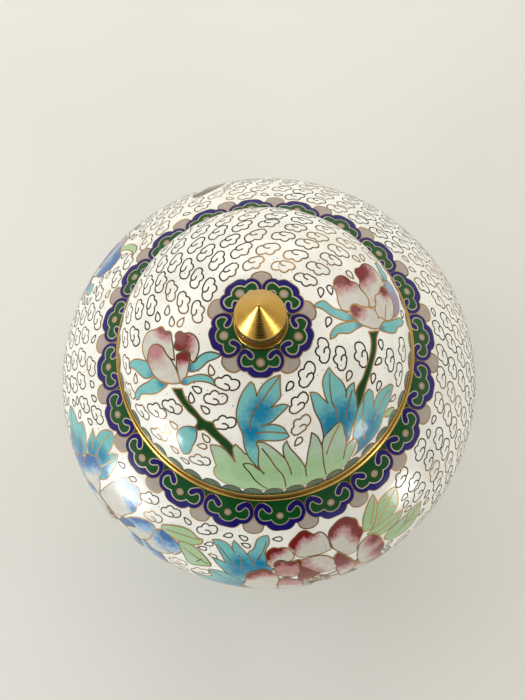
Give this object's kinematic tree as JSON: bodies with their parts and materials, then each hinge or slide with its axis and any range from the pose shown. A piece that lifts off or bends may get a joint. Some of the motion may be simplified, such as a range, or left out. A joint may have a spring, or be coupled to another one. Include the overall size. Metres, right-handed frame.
{
  "type": "cloisonne ginger jar",
  "caption": "Round-bellied cloisonne jar on a brass foot ring, with a hollow vessel, a brass mouth ring and a lift-off domed lid with a turned brass cone finial.",
  "frame": {"origin": "middle of the underside of the foot ring, on the surface that the jar stands on", "axes": "+Z is the axis of the turned jar, up through the finial; -Y is the side towards the viewer of the picture"},
  "size_m": [0.18, 0.18, 0.1893],
  "materials": {
    "enamel": "glossy polished enamel over copper",
    "brass": "polished, with fine turning lines"
  },
  "bodies": {
    "root": {"jar_body": "enamel", "foot_ring": "brass", "mouth_ring": "brass", "lid_rim": "brass", "lid": "enamel", "finial": "brass"}
  },
  "joints": []
}
